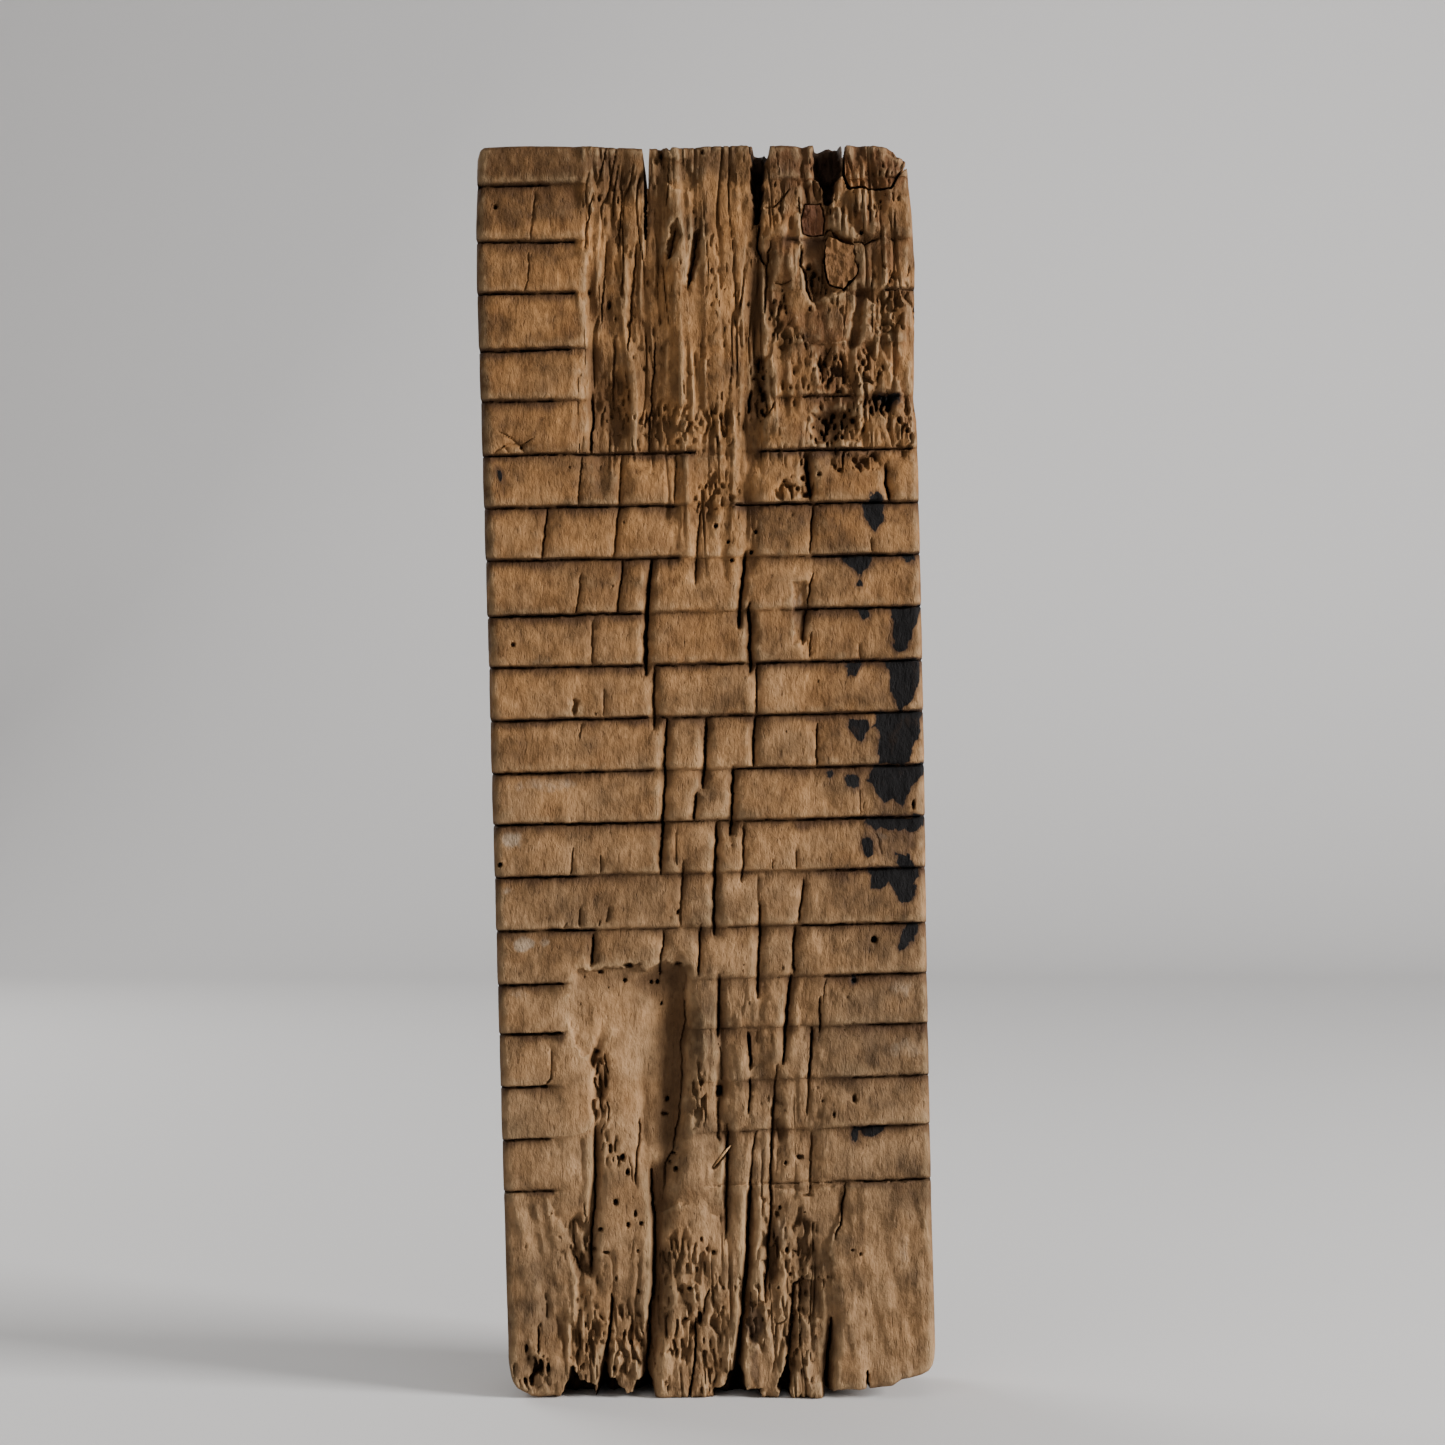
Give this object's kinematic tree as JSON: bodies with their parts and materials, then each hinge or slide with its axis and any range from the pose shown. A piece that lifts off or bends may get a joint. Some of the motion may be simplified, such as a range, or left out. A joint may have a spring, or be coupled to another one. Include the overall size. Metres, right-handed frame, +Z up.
{
  "type": "washboard",
  "caption": "Old wooden washboard: a thick plank with sawn ribs, rubbed hollow down the middle, split by drying and rotted at its top, standing on its worn foot end.",
  "frame": {"origin": "centre of the plank's bounding box in plan, at the floor under its worn foot end", "axes": "+Z up along the plank, which leans slightly towards -X; the ribbed face looks along -Y; +X is to the right of someone facing the ribs"},
  "size_m": [0.1834, 0.046, 0.5027],
  "materials": {
    "weathered_wood": "dry, rubbed smooth on the ribs, stained black in places",
    "corner_wood": "dry, fibrous",
    "rotten_wood": "dry, cubically rotted",
    "splinter_wood": "raw, freshly split"
  },
  "bodies": {
    "root": {"board": "weathered_wood", "corner_block": "corner_wood", "upper_flake": "rotten_wood", "lower_flake": "rotten_wood", "splinter": "splinter_wood"}
  },
  "joints": []
}
